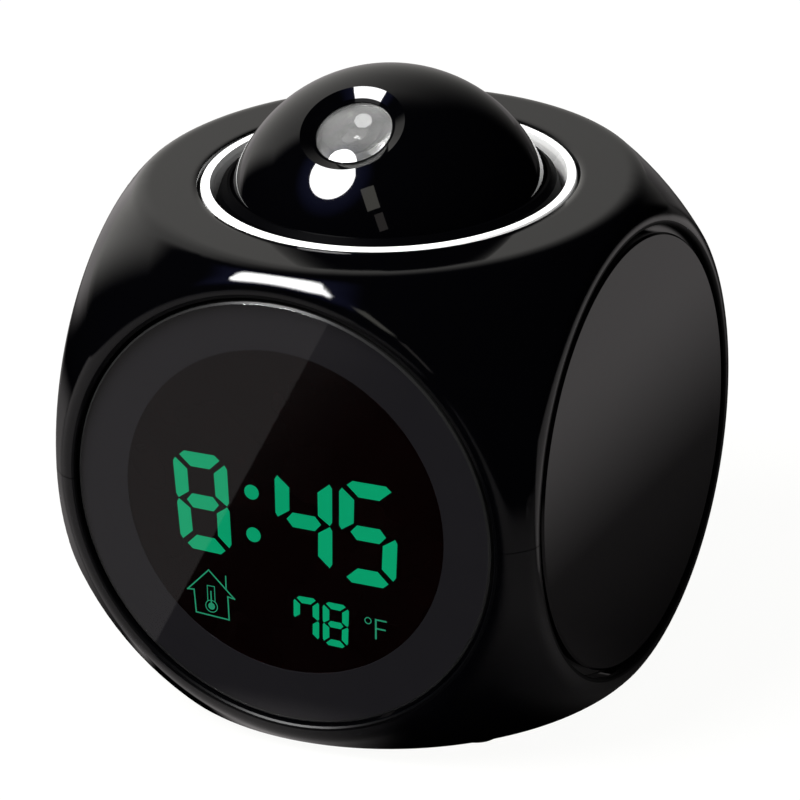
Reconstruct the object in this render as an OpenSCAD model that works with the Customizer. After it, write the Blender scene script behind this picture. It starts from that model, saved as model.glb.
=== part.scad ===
// Projection alarm clock: a ball cut by six flat faces, with a round display window in front, plain discs
// in the sides, buttons and speaker at the back, and a projector ball that tilts and turns in the top.
// Millimetres. +Z is up, the front faces -Y, and the origin is under the middle of the clock, at its feet.

/* [Body] */
// Width and depth of the body, from flat face to flat face
body_w = 85; // [80:0.5:95]
// Height of the body without its feet
body_h = 83; // [78:0.5:94]
// Radius of the rounding between each flat face and the ball form
edge_r = 3.6; // [3:0.1:4.5]
// How far the ball form fills the corners; at 1 the roundings of two faces meet
corner_fill = 0.996; // [0.98:0.001:0.997]
// Wall of the shells between the flat faces
wall = 2.4; // [2:0.1:3]
// Wall of the flat faces, which carry the inset discs
face_wall = 3.6; // [3.2:0.1:4.2]
// Wall of the rear face, which carries the recessed panel
rear_wall = 4.4; // [4.2:0.1:5]
// Open line between the two shells
seam_gap = 0.12; // [0.05:0.01:0.3]
// Height of the tongue that joins the shells
tongue_h = 1.8; // [1:0.1:3]
// Thickness of the tongue
tongue_t = 1.1; // [0.8:0.1:1.5]

/* [Inset discs] */
// Flat land left between a disc pocket and the rounding of its face
land = 0.65; // [0.2:0.05:1]
// Depth of the front and side pockets
pocket_depth = 1.8; // [1.5:0.1:2.2]
// Open ring between the front window and its pocket
window_gap = 0.65; // [0.1:0.05:0.9]
// Open ring between a side disc and its pocket
side_gap = 1.3; // [0.2:0.05:1.6]
// How far the window and the side discs lie below the face
disc_sink = 0.08; // [0.02:0.01:0.3]
// Thickness of the dark ring behind the window
mask_t = 0.25; // [0.15:0.05:0.4]
// Diameter of the round view through the mask
view_d = 55.8; // [48:0.2:56]
// Diameter of the locating pegs of the side discs
peg_d = 3; // [2:0.1:4]
// Circle on which the pegs stand
peg_circle_d = 50; // [40:1:60]

/* [Display] */
// Diameter of the opening in the front wall, in which the glass lies
aperture_d = 59; // [57:0.5:61]
// Height of the display glass between its flats
glass_h = 56; // [48:0.5:57]
// Thickness of the display glass
glass_t = 2; // [1.6:0.1:2.4]
// Thickness of the light guide
guide_t = 2.6; // [2:0.1:3]
// Width of the main board
board_w = 52; // [49:1:56]
// Height of the main board
board_h = 49; // [49:1:54]
// Thickness of the circuit boards
board_t = 1.6; // [1:0.1:1.8]

/* [Projector] */
// Diameter of the projector ball
ball_d = 53.8; // [51:0.1:55]
// Depth of the ball's centre below the top face
ball_drop = 9.1; // [8:0.1:10]
// Wall of the ball
ball_wall = 1.6; // [1.3:0.1:2]
// Gap between the ball and its socket
ball_gap = 0.3; // [0.2:0.05:0.5]
// Wall of the socket beside the ball's equator
socket_wall = 1.15; // [1:0.05:1.3]
// Height of the socket's rim above the top face
rim_rise = 0.2; // [0:0.1:0.6]
// Gap between the socket and the collar
collar_gap = 0.3; // [0.25:0.05:0.5]
// Width of the collar's flat white rim
collar_rim = 1.5; // [1.4:0.05:1.8]
// Diameter of the pivot pins
pin_d = 3; // [2:0.1:4]
// Running clearance round the pins and the turning socket
run_gap = 0.06; // [0.03:0.01:0.1]
// How far the ball and socket go down when pressed
press_travel = 1.2; // [0.8:0.1:1.6]
// Lean of the lens from upright, towards the front
lens_tilt = 29; // [20:1:40]
// Diameter of the lens
lens_d = 13.2; // [12:0.1:14]
// Diameter of the recess round the lens, at the ball's surface
recess_d = 17.2; // [16.6:0.1:18.4]

/* [Rear panel] */
// Depth of the panel's face below the rear face
rear_sink = 1.2; // [1:0.05:1.4]
// Thickness of the panel
panel_t = 1.6; // [1.2:0.1:1.8]
// Diameter of a setting button
button_d = 7; // [6:0.1:8]
// Distance from button to button
button_pitch = 12; // [11:0.5:13]
// Height of the row of buttons below the middle of the clock
button_drop = 17; // [16:0.5:19]
// Travel of a button
button_travel = 0.5; // [0.3:0.05:0.6]
// Diameter of the speaker
speaker_d = 28; // [24:0.5:29]
// Height of the speaker above the middle of the clock
speaker_lift = 8; // [7:0.5:9]
// Diameter of one hole of the speaker grille
grille_hole_d = 1.8; // [1.2:0.1:2.2]

/* [Batteries] */
// Diameter of a cell
cell_d = 10.5; // [10:0.1:10.8]
// Length of a cell with its button
cell_l = 44.5; // [43:0.1:45]
// Distance from cell to cell
cell_pitch = 11; // [10.8:0.1:11.3]
// Room for the contacts at each end of the cells
contact_room = 3.6; // [3:0.1:4]
// Thickness of the battery door
door_t = 2.2; // [2:0.1:2.4]
// Open line round the battery door
door_gap = 0.25; // [0.15:0.05:0.4]

/* [Feet and screws] */
// Diameter of a foot
foot_d = 8; // [6:0.2:8]
// Height of the feet under the body
foot_h = 1; // [0.6:0.1:2]
// Depth of the pockets of the feet
foot_sink = 0.8; // [0.5:0.1:1]
// Distance of each boss from the middle, along X and along Y
boss_at = 24.4; // [24.2:0.1:24.8]
// Diameter of the screw bosses
boss_d = 6.4; // [6:0.1:6.6]
// Diameter of the screws
screw_d = 2; // [1.6:0.1:2.4]

/* [Hidden] */
$fn = 96;

// Colours
gloss_black = [0.03, 0.03, 0.035];
soft_black = [0.08, 0.08, 0.085];
collar_white = [0.96, 0.96, 0.95];
board_green = [0.05, 0.3, 0.15];
metal = [0.75, 0.75, 0.74];

// Small lengths that several pieces share
over = 1;          // how far a cutting tool reaches past what it cuts
fit = 0.1;         // clearance of pieces that are put together by hand
tight = 0.02;      // clearance of pieces that are pressed together
bite = 0.3;        // how deep a boss or rib runs into the wall that carries it

// Body form: each flat face is joined to the ball by a rounding that is tangent to both
face_x = body_w / 2;
face_z = body_h / 2;
mid_z = foot_h + face_z;
top_z = foot_h + body_h;
core_r = corner_fill * min(norm([face_x - edge_r, face_z - edge_r]), sqrt(2) * (face_x - edge_r));
form_r = core_r + edge_r;
inner_r = form_r - wall;
function lean(d) = acos((d - edge_r) / core_r);
function flat_r(d) = core_r * sin(lean(d));
in_x = face_x - face_wall;
in_rear = face_x - rear_wall;
in_z = face_z - face_wall;
ceiling_z = mid_z + in_z;
floor_z = mid_z - in_z;

// Discs
pocket_r = flat_r(face_x) - land;
window_r = pocket_r - window_gap;
side_disc_r = pocket_r - side_gap;
pocket_floor = face_x - pocket_depth;
pocket_chamfer = 0.25;
peg_count = 3;

// Display, measured from the middle of the clock towards the front
glass_face = pocket_floor - mask_t;
glass_back = glass_face - glass_t;
glass_r = aperture_d / 2 - 0.5;
frame_r = aperture_d / 2 + 3.4;
guide_r = glass_r - 1.5;
guide_back = glass_back - guide_t;
board_face = guide_back - fit;
board_back = board_face - board_t;
board_screw_at = (guide_r + frame_r) / 2 / sqrt(2);

// Projector, measured from the ball's centre
ball_r = ball_d / 2;
ball_z = top_z - ball_drop;
bowl_r = ball_r + ball_gap;
socket_r = bowl_r + socket_wall;
rim_z = ball_drop + rim_rise;
collar_in_r = socket_r + collar_gap;
collar_r = collar_in_r + collar_rim + 0.15;
collar_wall = 0.95;
collar_skirt_r = collar_in_r + collar_wall;
collar_flange_t = 2.2;
opening_gap = 0.6;
flange_top = -9.3;                 // top of the socket's flange
flange_t = 2.2;
flange_r = socket_r + 1.1;
ring_drop = 4.6;                   // height of the press ring
ring_wall = 1.35;
ring_r = flange_r + fit + ring_wall;
ring_low = flange_top - ring_drop;
ear_at = ring_r + 1.6;
ear_d = 7;
post_d = 2.4;
carrier_top = ring_low - 9;        // room for the press springs
carrier_t = 2;
carrier_y = 28;
carrier_hole_r = 16;
ball_open_z = -18;                 // where the ball is cut off below
pin_in = ball_r - 5;
pin_out = socket_r - 0.1;
ball_screw_y = 22;

// Lens, measured from the ball's centre along its own axis
tube_r = lens_d / 2 + 1;
tube_front = 24.05;
tube_back = 9;
light_board_r = 9;
lens_crown = 25.2;
lens_front_r = 18;
lens_back_r = 22;
lens_seat = 22;
lens_bore_r = lens_d / 2 - 0.5;
lip_z = tube_front + fit;          // underside of the ball's lip round the lens
lip_t = 0.25;
lip_in = 0.3;                      // how far the lip reaches over the lens
lens_back_crown = lens_seat + tight - (lens_back_r - sqrt(pow(lens_back_r, 2) - pow(lens_bore_r, 2)));
recess_z = sqrt(pow(ball_r, 2) - pow(recess_d / 2, 2));

// Rear panel, measured from the middle of the clock towards the back
panel_face = face_x - rear_sink;
panel_back = panel_face - panel_t;
panel_r = window_r;
rear_open_r = pocket_r - 4.3;
button_count = 4;
button_proud = 0.9;
button_flange_t = 1;
switch_h = 2.2;
key_face = panel_back - 4.2;
key_w = button_pitch * (button_count - 1) + 7.5;
key_h = 13;
key_post_y = 4;                    // how far the posts stand above and below the row of buttons
key_post_d = 4.4;
speaker_wall = 1.4;
speaker_lip = 3;
grille_rings = 4;
grille_pitch = 3;

// Batteries
cell_count = 3;
bay_w = cell_pitch * (cell_count - 1) + cell_d + 1.5;
bay_l = cell_l + 2 * contact_room;
bay_wall = 1.4;
door_top = foot_h + door_t;
cell_z = door_top + 0.4 + cell_d / 2;
bay_top = cell_z + cell_d / 2 + 0.8;
bay_ledge = 1.6;
door_w = bay_w + 2 * bay_ledge;
door_l = bay_l + 2 * bay_ledge;
hinge_r = door_t / 2;
hinge_y = door_l / 2 - hinge_r;
hinge_z = foot_h + hinge_r;
hinge_pin_r = 0.7;
hinge_pin_l = 1.4;
finger_r = 6;
finger_depth = 1.2;
contact_t = 0.4;
contact_bump = 0.6;
nub_l = 0.8;
spring_wire = 0.35;

// Screw towers: the long case screws hold both shells and the carrier plate
carrier_top_z = ball_z + carrier_top;
carrier_low_z = carrier_top_z - carrier_t;
screw_head_z = carrier_low_z - 6;
head_d = screw_d * 1.9;
screw_tip_z = carrier_top_z + 6;
feet = [[-1, -1], [1, -1], [-1, 1], [1, 1]];

// A ring between two radii
module ring(outer, inner, height) {
    difference() {
        cylinder(r = outer, h = height);
        translate([0, 0, -over]) cylinder(r = inner, h = height + 2 * over);
    }
}

// The axes of an upright face: Z outward, Y up. A turn of 0 is the front, 90 the right side, 180 the back
module face(turn) {
    translate([0, 0, mid_z]) rotate([90, 0, turn]) children();
}

// The axes of the ball, with the pivot pins along X
module ball_axes() {
    translate([0, 0, ball_z]) children();
}

// The axes of the lens, looking out along Z
module lens_axes() {
    ball_axes() rotate([lens_tilt, 0, 0]) children();
}

// Puts a copy in each of the four corners
module corners(at = boss_at) {
    for (corner = feet) translate([corner[0] * at, corner[1] * at, 0]) children();
}

// A screw that stands head down, with the seat of its head at Z = 0
module screw(length, head_h = 1.3) {
    neck = 0.4;
    translate([0, 0, -neck]) cylinder(d = screw_d - 2 * tight, h = length + neck);
    translate([0, 0, -head_h]) difference() {
        cylinder(d = head_d - 2 * fit, h = head_h - tight);
        translate([0, 0, -over]) cylinder(d = screw_d * 0.75, h = over + head_h / 2, $fn = 6);
    }
}

// The disc that closes the ball form at one face, d away from the middle, with its rounded edge.
// The rounding stands a hair proud, so that it crosses the face and the ball instead of grazing them.
module face_cap(d) {
    hair = 0.004;
    centre = [flat_r(d), d - edge_r];
    meet_y = form_r * cos(lean(d));
    rotate_extrude() intersection() {
        union() {
            translate([0, meet_y - edge_r]) square([centre[0], 3 * edge_r]);
            intersection() {
                translate([centre[0], centre[1] + hair]) circle(r = edge_r);
                translate([centre[0] - edge_r / 2, meet_y - edge_r / 16]) square(2 * edge_r);
            }
        }
        square([2 * d, d]);
    }
}

// The whole outside of the body, round its own middle
module body_form() {
    side = 2 * form_r * cos(lean(face_x));
    high = 2 * form_r * cos(lean(face_z));
    intersection() {
        sphere(r = form_r);
        cube([side, side, high], center = true);
    }
    for (turn = [0 : 90 : 270]) rotate([90, 0, turn]) face_cap(face_x);
    for (flip = [0, 180]) rotate([flip, 0, 0]) face_cap(face_z);
}

// The room inside the shells, drawn in by a further margin
module body_room(margin = 0) {
    intersection() {
        sphere(r = inner_r - margin);
        translate([margin - in_x, margin - in_x, margin - in_z])
            cube([2 * (in_x - margin), in_x + in_rear - 2 * margin, 2 * (in_z - margin)]);
    }
}

// The round pocket of a disc, with a fine chamfer at its mouth
module pocket(depth) {
    translate([0, 0, face_x - depth]) cylinder(r = pocket_r, h = depth + over);
    translate([0, 0, face_x - pocket_chamfer])
        cylinder(r1 = pocket_r, r2 = pocket_r + 2 * pocket_chamfer, h = 2 * pocket_chamfer);
}

// Everything cut from the upright faces of both shells
module face_cuts() {
    face(0) {
        pocket(pocket_depth);
        cylinder(d = aperture_d, h = face_x + over);
    }
    face(180) {
        pocket(rear_sink + panel_t);
        cylinder(r = rear_open_r, h = face_x + over);
    }
    for (turn = [90, -90]) face(turn) {
        pocket(pocket_depth);
        peg_places() cylinder(d = peg_d + fit, h = face_x);
    }
}

module peg_places() {
    for (i = [0 : peg_count - 1]) rotate(90 + i * 360 / peg_count)
        translate([peg_circle_d / 2, 0, in_x - 0.8]) children();
}

// One half of the shell: the body form, hollowed, cut at the seam and at its upright faces
module half_shell(low, high) {
    difference() {
        intersection() {
            translate([0, 0, mid_z]) body_form();
            translate([-body_w, -body_w, low]) cube([2 * body_w, 2 * body_w, high - low]);
        }
        translate([0, 0, mid_z]) body_room();
        face_cuts();
        children();
    }
}

module upper_shell() {
    color(gloss_black) difference() {
        union() {
            half_shell(mid_z + seam_gap / 2, top_z + over) {
                translate([0, 0, top_z - collar_flange_t])
                    cylinder(r = collar_r + opening_gap, h = collar_flange_t + over);
                translate([0, 0, ceiling_z - over])
                    cylinder(r = collar_skirt_r + fit, h = face_wall + 2 * over);
            }
            corners() translate([0, 0, carrier_top_z])
                cylinder(d = boss_d, h = ceiling_z - carrier_top_z + bite);
        }
        corners() translate([0, 0, carrier_top_z - over]) cylinder(d = screw_d, h = 9);
    }
}

// The tongue stands on the lower shell and reaches up inside the upper one, clear of the discs
module tongue() {
    difference() {
        translate([0, 0, mid_z]) {
            intersection() {
                difference() {
                    body_room(fit);
                    body_room(tongue_t);
                }
                translate([0, 0, tongue_h / 2 - tongue_t])
                    cube([2 * body_w, 2 * body_w, tongue_h + 2 * tongue_t], center = true);
            }
            intersection() {
                difference() {
                    body_room(-bite);
                    body_room(tongue_t);
                }
                translate([0, 0, -seam_gap / 2 - tongue_t])
                    cube([2 * body_w, 2 * body_w, 2 * tongue_t], center = true);
            }
        }
        face(0) cylinder(r = frame_r + 1, h = face_x);
        face(180) cylinder(r = rear_open_r + 1, h = face_x);
    }
}

// The battery bay: walls and roof that stand on the floor of the lower shell
module bay_block() {
    translate([-bay_w / 2 - bay_wall, -bay_l / 2 - bay_wall, floor_z - bite])
        cube([bay_w + 2 * bay_wall, bay_l + 2 * bay_wall, bay_top + bay_wall - floor_z + bite]);
}

// A shallow dip for the fingertip that opens the door, half in the door and half in the shell
module finger_dip() {
    translate([0, -door_l / 2, foot_h + finger_depth - finger_r]) sphere(r = finger_r);
}

module door_hole() {
    translate([-door_w / 2 - door_gap, -door_l / 2 - door_gap, foot_h - over])
        cube([door_w + 2 * door_gap, door_l + 2 * door_gap, door_t + over + fit]);
    translate([0, hinge_y, hinge_z]) rotate([0, 90, 0])
        cylinder(r = hinge_pin_r + run_gap, h = door_w + 2 * hinge_pin_l + 0.4, center = true);
    finger_dip();
}

module lower_shell() {
    color(gloss_black) difference() {
        union() {
            half_shell(foot_h - over, mid_z - seam_gap / 2);
            tongue();
            bay_block();
            corners() translate([0, 0, floor_z - bite])
                cylinder(d = boss_d, h = carrier_low_z - floor_z + bite);
        }
        translate([-bay_w / 2, -bay_l / 2, foot_h]) cube([bay_w, bay_l, bay_top - foot_h]);
        door_hole();
        corners() {
            translate([0, 0, foot_h - over]) cylinder(d = foot_d + 2 * fit, h = foot_sink + over);
            translate([0, 0, foot_h]) cylinder(d = head_d, h = screw_head_z - foot_h);
            translate([0, 0, foot_h]) cylinder(d = screw_d + 2 * fit, h = carrier_low_z);
        }
    }
}

module front_window() {
    rim = 0.35;
    color([0.1, 0.1, 0.11, 0.5]) face(0) translate([0, 0, pocket_floor + mask_t]) {
        cylinder(r = window_r, h = pocket_depth - mask_t - disc_sink - rim);
        translate([0, 0, pocket_depth - mask_t - disc_sink - rim])
            cylinder(r1 = window_r, r2 = window_r - rim, h = rim);
    }
}

module window_mask() {
    color([0.19, 0.19, 0.21]) face(0) translate([0, 0, pocket_floor])
        ring(window_r, view_d / 2, mask_t);
}

module display_panel() {
    color([0.02, 0.02, 0.02]) face(0) translate([0, 0, glass_back]) intersection() {
        cylinder(r = glass_r, h = glass_t);
        translate([-glass_r, -glass_h / 2, 0]) cube([2 * glass_r, glass_h, glass_t]);
    }
}

module display_frame() {
    color(soft_black) face(0) difference() {
        translate([0, 0, board_face]) cylinder(r = frame_r, h = in_x - board_face);
        translate([0, 0, board_face - over]) cylinder(r = guide_r + fit, h = face_x);
        translate([0, 0, glass_back]) cylinder(r = glass_r + fit, h = face_x);
        for (corner = feet) translate([corner[0] * board_screw_at, corner[1] * board_screw_at, 0])
            cylinder(d = screw_d, h = in_x - 0.6);
    }
}

module backlight() {
    color([0.95, 0.97, 0.92]) face(0) translate([0, 0, guide_back]) cylinder(r = guide_r, h = guide_t);
}

module main_board() {
    color(board_green) face(0) difference() {
        translate([-board_w / 2, -board_h / 2, board_back]) cube([board_w, board_h, board_t]);
        for (corner = feet)
            translate([corner[0] * board_screw_at, corner[1] * board_screw_at, board_back - over])
                cylinder(d = screw_d + fit, h = board_t + 2 * over);
    }
}

// Clock chip under its drop of resin, voice chip, crystal and two capacitors
module board_chips() {
    resin_t = 2;
    voice_chip = [8, 10, 1.6];
    crystal_d = 3;
    capacitor_h = 4;
    color([0.06, 0.06, 0.06]) face(0) {
        intersection() {
            translate([-10, -6, board_back + 7]) sphere(r = 9);
            translate([-20, -16, board_back - resin_t]) cube([20, 20, resin_t]);
        }
        translate([8, -12, board_back - voice_chip[2]]) cube(voice_chip);
        translate([6, 6, board_back - crystal_d / 2]) rotate([0, 90, 0]) cylinder(d = crystal_d, h = 8);
        for (side = [-1, 1]) translate([side * 18, -3, board_back - capacitor_h])
            cylinder(d = 5, h = capacitor_h);
    }
}

module board_screws() {
    color(metal) {
        face(0) for (corner = feet)
            translate([corner[0] * board_screw_at, corner[1] * board_screw_at, board_back]) screw(4);
        face(180) key_posts() translate([0, 0, key_face - board_t]) screw(5);
    }
}

module side_disc(turn) {
    rim = 0.35;
    thick = pocket_depth - disc_sink;
    color(gloss_black) face(turn) {
        translate([0, 0, pocket_floor]) {
            cylinder(r = side_disc_r, h = thick - rim);
            translate([0, 0, thick - rim]) cylinder(r1 = side_disc_r, r2 = side_disc_r - rim, h = rim);
        }
        peg_places() cylinder(d = peg_d, h = pocket_floor - in_x + 0.8 + tight);
    }
}

module side_disc_left() { side_disc(-90); }

module side_disc_right() { side_disc(90); }

function button_x(i) = (i - (button_count - 1) / 2) * button_pitch;

// The two posts of the key board, between the outer buttons
module key_posts() {
    for (side = [-1, 1]) translate([side * button_pitch, side * key_post_y - button_drop, 0]) children();
}

// Rings of round holes in front of the speaker
module grille() {
    cylinder(d = grille_hole_d, h = face_x);
    for (k = [1 : grille_rings - 1]) for (i = [0 : 6 * k - 1])
        rotate(i * 60 / k) translate([k * grille_pitch, 0, 0]) cylinder(d = grille_hole_d, h = face_x);
}

// Clips of the rear panel, which hook behind the edge of the opening
module panel_clips() {
    clip_w = 8;
    hook = 0.8;
    reach = panel_back - in_rear;
    for (i = [0 : 3]) rotate(i * 90) intersection() {
        union() {
            translate([0, 0, in_rear - 1]) ring(rear_open_r - fit, rear_open_r - 1.3, reach + 1 + tight);
            translate([0, 0, in_rear - 1]) ring(rear_open_r + hook, rear_open_r - 1.3, 0.9);
        }
        translate([0, -clip_w / 2, 0]) cube([face_x, clip_w, face_x]);
    }
}

module rear_panel() {
    color(soft_black) face(180) difference() {
        union() {
            translate([0, 0, panel_back]) cylinder(r = panel_r, h = panel_t);
            panel_clips();
            key_posts() translate([0, 0, key_face])
                cylinder(d = key_post_d, h = panel_back - key_face + tight);
            translate([0, speaker_lift, panel_back - speaker_lip])
                ring(speaker_d / 2 + fit + speaker_wall, speaker_d / 2 + fit, speaker_lip + tight);
        }
        for (i = [0 : button_count - 1]) translate([button_x(i), -button_drop, panel_back - over])
            cylinder(d = button_d + 2 * fit, h = panel_t + 2 * over);
        translate([0, speaker_lift, 0]) grille();
        key_posts() cylinder(d = screw_d, h = panel_back);
    }
}

module button(i) {
    low = key_face + switch_h + button_travel + fit;
    flange_low = panel_back - fit - button_flange_t;
    crown = 0.4;
    color(soft_black) face(180) translate([button_x(i), -button_drop, 0]) {
        translate([0, 0, flange_low]) cylinder(d = button_d + 2, h = button_flange_t);
        translate([0, 0, low]) cylinder(d = 3, h = flange_low - low + tight);
        translate([0, 0, flange_low]) {
            cylinder(d = button_d, h = panel_face + button_proud - crown - flange_low);
            translate([0, 0, panel_face + button_proud - crown - flange_low])
                cylinder(d1 = button_d, d2 = button_d - 2 * crown, h = crown);
        }
    }
}

module key_board() {
    color(board_green) face(180) difference() {
        translate([-key_w / 2, -button_drop - key_h / 2, key_face - board_t])
            cube([key_w, key_h, board_t]);
        key_posts() translate([0, 0, key_face - board_t - over])
            cylinder(d = screw_d + fit, h = board_t + 2 * over);
    }
}

// A push switch, standing on its board
module push_switch(height, plunger = 0.8) {
    size = 6;
    translate([-size / 2, -size / 2, 0]) cube([size, size, height - plunger]);
    cylinder(d = 3.2, h = height);
}

module key_switches() {
    color([0.15, 0.15, 0.15]) face(180) for (i = [0 : button_count - 1])
        translate([button_x(i), -button_drop, key_face]) push_switch(switch_h);
}

module at_speaker() {
    face(180) translate([0, speaker_lift, panel_back - 0.2]) children();
}

module speaker_basket() {
    r = speaker_d / 2;
    magnet_r = r - 6.5;
    color(metal) at_speaker() rotate_extrude() polygon([
        [0, -10], [magnet_r, -10], [magnet_r, -6], [r - 5, -5.7], [r - 1, -1.5], [r, -1.2], [r, 0],
        [r - 1.3, 0], [r - 1.3, -0.9], [r - 5.8, -4.9], [0, -4.9]]);
}

module speaker_cone() {
    r = speaker_d / 2 - 1.5;
    color([0.12, 0.12, 0.12]) at_speaker() rotate_extrude() polygon([
        [0, -3.2], [3.4, -4.2], [r - 0.2, -1.1], [r, -0.9], [r, -0.4], [r - 0.4, -0.4], [3.6, -3.6],
        [0, -2.6]]);
}

module battery_door() {
    thin = 1.2;
    rib = 1.2;
    color(gloss_black) difference() {
        union() {
            translate([-door_w / 2, -door_l / 2, foot_h]) cube([door_w, door_l - hinge_r, door_t]);
            translate([-door_w / 2, hinge_y, hinge_z]) rotate([0, 90, 0])
                cylinder(r = hinge_r, h = door_w);
            translate([-door_w / 2 - hinge_pin_l, hinge_y, hinge_z]) rotate([0, 90, 0])
                cylinder(r = hinge_pin_r, h = door_w + 2 * hinge_pin_l);
        }
        // hollowed from inside, with one long rib left in the middle
        for (side = [0, 1]) mirror([side, 0, 0])
            translate([rib / 2, -bay_l / 2 + rib, foot_h + thin])
                cube([(bay_w - rib) / 2 - rib, bay_l - 3 * rib, door_t]);
        finger_dip();
    }
}

function cell_x(i) = (i - (cell_count - 1) / 2) * cell_pitch;
function cell_way(i) = i % 2 == 0 ? 1 : -1;

// The axes of a cell's place, with its button end along Z
module cell_axes(i) {
    translate([cell_x(i), 0, cell_z]) rotate([-90 * cell_way(i), 0, 0]) children();
}

module battery_cell(i) {
    end = bay_l / 2 - contact_t - contact_bump;
    color([0.75, 0.6, 0.25]) cell_axes(i) translate([0, 0, end - cell_l]) {
        cylinder(d = cell_d, h = cell_l - nub_l);
        cylinder(d = 3.8, h = cell_l);
    }
}

module battery_cell_1() { battery_cell(0); }

module battery_cell_2() { battery_cell(1); }

module battery_cell_3() { battery_cell(2); }

// A coil of round wire, standing on Z = 0
module coil(r, wire_r, height, turns) {
    sides = 6;
    per_turn = 12;
    rings = turns * per_turn;
    rise = (height - 2 * wire_r) / rings;
    points = [for (i = [0 : rings]) for (j = [0 : sides - 1])
        let (t = i * 360 / per_turn, p = j * 360 / sides, d = r + wire_r * cos(p))
        [d * cos(t), d * sin(t), wire_r + i * rise + wire_r * sin(p)]];
    skin = [for (i = [0 : rings - 1]) for (j = [0 : sides - 1])
        let (k = (j + 1) % sides)
        [i * sides + j, i * sides + k, (i + 1) * sides + k, (i + 1) * sides + j]];
    start = [for (j = [sides - 1 : -1 : 0]) j];
    end = [for (j = [0 : sides - 1]) rings * sides + j];
    polyhedron(points, concat([start], skin, [end]), convexity = 8);
}

module contact_springs() {
    room = bay_l - 2 * contact_t - contact_bump - cell_l;
    color(metal) for (i = [0 : cell_count - 1]) cell_axes(i)
        translate([0, 0, contact_t - bay_l / 2 + 0.05]) coil(2.6, spring_wire, room - 0.1, 4);
}

module contact_plates() {
    size = 8.4;
    color(metal) for (i = [0 : cell_count - 1]) cell_axes(i) {
        translate([-size / 2, -size / 2, -bay_l / 2]) cube([size, size, contact_t]);
        translate([-size / 2, -size / 2, bay_l / 2 - contact_t]) cube([size, size, contact_t]);
        translate([0, 0, bay_l / 2 - contact_t - contact_bump]) cylinder(d = 4.4, h = contact_bump + tight);
    }
}

module collar_ring() {
    skirt_low = ball_z + flange_top + fit;
    edge = 0.3;
    color(collar_white) difference() {
        union() {
            translate([0, 0, top_z - collar_flange_t]) cylinder(r = collar_r, h = collar_flange_t - edge);
            translate([0, 0, top_z - edge]) cylinder(r1 = collar_r, r2 = collar_r - edge / 2, h = edge);
            translate([0, 0, skirt_low]) cylinder(r = collar_skirt_r, h = top_z - over - skirt_low);
            for (i = [0 : 3]) rotate(i * 90) intersection() {
                translate([0, 0, ceiling_z - 1.1]) cylinder(r = collar_skirt_r + 0.9, h = 1);
                translate([0, -5, 0]) cube([2 * collar_r, 10, top_z]);
            }
        }
        translate([0, 0, skirt_low - over]) cylinder(r = collar_in_r, h = body_h);
        translate([0, 0, top_z - 1]) cylinder(r1 = collar_in_r, r2 = collar_in_r + 0.3, h = 2);
    }
}

module carrier_plate() {
    color(soft_black) difference() {
        union() {
            translate([0, 0, carrier_low_z]) intersection() {
                cylinder(r = ring_r, h = carrier_t);
                translate([-ring_r, -carrier_y, 0]) cube([2 * ring_r, 2 * carrier_y, carrier_t]);
            }
            corners() translate([0, 0, carrier_low_z]) cylinder(d = boss_d + 0.6, h = carrier_t);
            for (turn = [45 : 90 : 315]) rotate(turn) translate([ring_r - 2, -2.5, carrier_low_z])
                cube([sqrt(2) * boss_at - ring_r + 2, 5, carrier_t]);
            for (side = [-1, 1]) translate([side * ear_at, 0, carrier_low_z]) {
                cylinder(d = ear_d + 1, h = carrier_t);
                cylinder(d = post_d, h = ball_z + flange_top - carrier_low_z);
            }
        }
        translate([0, 0, carrier_low_z - over]) cylinder(r = carrier_hole_r, h = carrier_t + 2 * over);
        corners() translate([0, 0, carrier_low_z - over])
            cylinder(d = screw_d + 2 * fit, h = carrier_t + 2 * over);
    }
}

// Place of the talk switch on the carrier plate, under the press ring
module at_switch() {
    rotate(20) translate([(socket_r + ring_r) / 2, 0, 0]) children();
}

talk_switch_h = 4.3;

module press_ring() {
    tip = carrier_top_z + talk_switch_h + press_travel + fit;
    low = ball_z + ring_low;
    color(soft_black) difference() {
        union() {
            translate([0, 0, low]) {
                cylinder(r = ring_r, h = ring_drop);
                for (side = [-1, 1]) translate([side * ear_at, 0, 0]) cylinder(d = ear_d, h = 2.6);
            }
            at_switch() translate([0, 0, tip]) cylinder(d = 2.6, h = low - tip + bite);
        }
        translate([0, 0, low - over]) cylinder(r = socket_r + run_gap, h = ring_drop + 2 * over);
        translate([0, 0, low + ring_drop - flange_t - run_gap])
            cylinder(r = flange_r + fit, h = flange_t + over);
        for (side = [-1, 1]) translate([side * ear_at, 0, low - over])
            cylinder(d = post_d + 2 * run_gap, h = ring_drop + 2 * over);
    }
}

module press_springs() {
    room = ball_z + ring_low - carrier_top_z;
    color(metal) for (side = [-1, 1]) translate([side * ear_at, 0, carrier_top_z + 0.05])
        coil(2.3, spring_wire, room - 0.1, 5);
}

module talk_switch() {
    color([0.15, 0.15, 0.15]) at_switch() translate([0, 0, carrier_top_z]) push_switch(talk_switch_h);
}

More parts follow.
